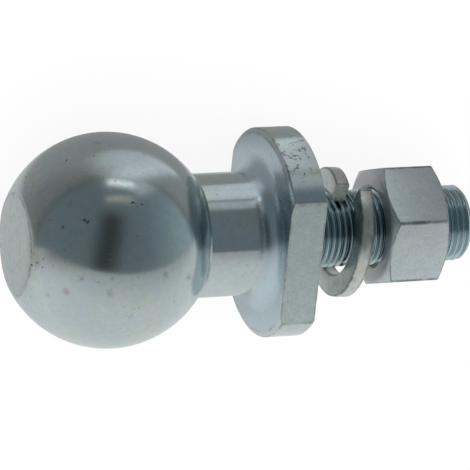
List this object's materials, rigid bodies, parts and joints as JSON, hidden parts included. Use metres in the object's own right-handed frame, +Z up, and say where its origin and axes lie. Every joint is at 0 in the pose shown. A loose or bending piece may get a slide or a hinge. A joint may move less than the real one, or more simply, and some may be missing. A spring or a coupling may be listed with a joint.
{
  "type": "threaded ball stud",
  "caption": "Coupling ball on a short neck with a flange, spanner flats and a threaded shank, carrying a split spring washer and a hexagon nut that clamp it to a drawbar plate.",
  "frame": {"origin": "centre of the flange's back face, where the shank leaves it", "axes": "+X along the stud as it lies, from the ball to the threaded end; +Z up from the table. The stud's own axis dips 7.1 degrees below +X, because it lies on the ball and on the back edge of one flange flat"},
  "size_m": [0.1125, 0.05, 0.05],
  "materials": {
    "stud_zinc": "bright blue zinc plate over turned steel, with turning lines, small pits and scratches",
    "washer_zinc": "dull yellowish zinc plate over spring steel",
    "nut_zinc": "matt blue-grey zinc plate over cold-formed steel"
  },
  "bodies": {
    "stud": {"ball_stud": "stud_zinc"},
    "washer": {"spring_washer": "washer_zinc"},
    "nut": {"hex_nut": "nut_zinc"}
  },
  "joints": [
    {"name": "washer_slide", "type": "slide", "parent": "stud", "child": "washer", "axis": [0.9924, 0, -0.1233], "range_m": [-0.0075, 0.0075]},
    {"name": "nut_turn", "type": "hinge", "parent": "washer", "child": "nut", "pos_m": [0.02729, 0, -0.00339], "axis": [0.9924, 0, -0.1233], "range_deg": [-1802, 1802]}
  ],
  "couplings": [
    {"joint": "nut_turn", "follows": "washer_slide", "rad_per_m": 4188.8}
  ]
}
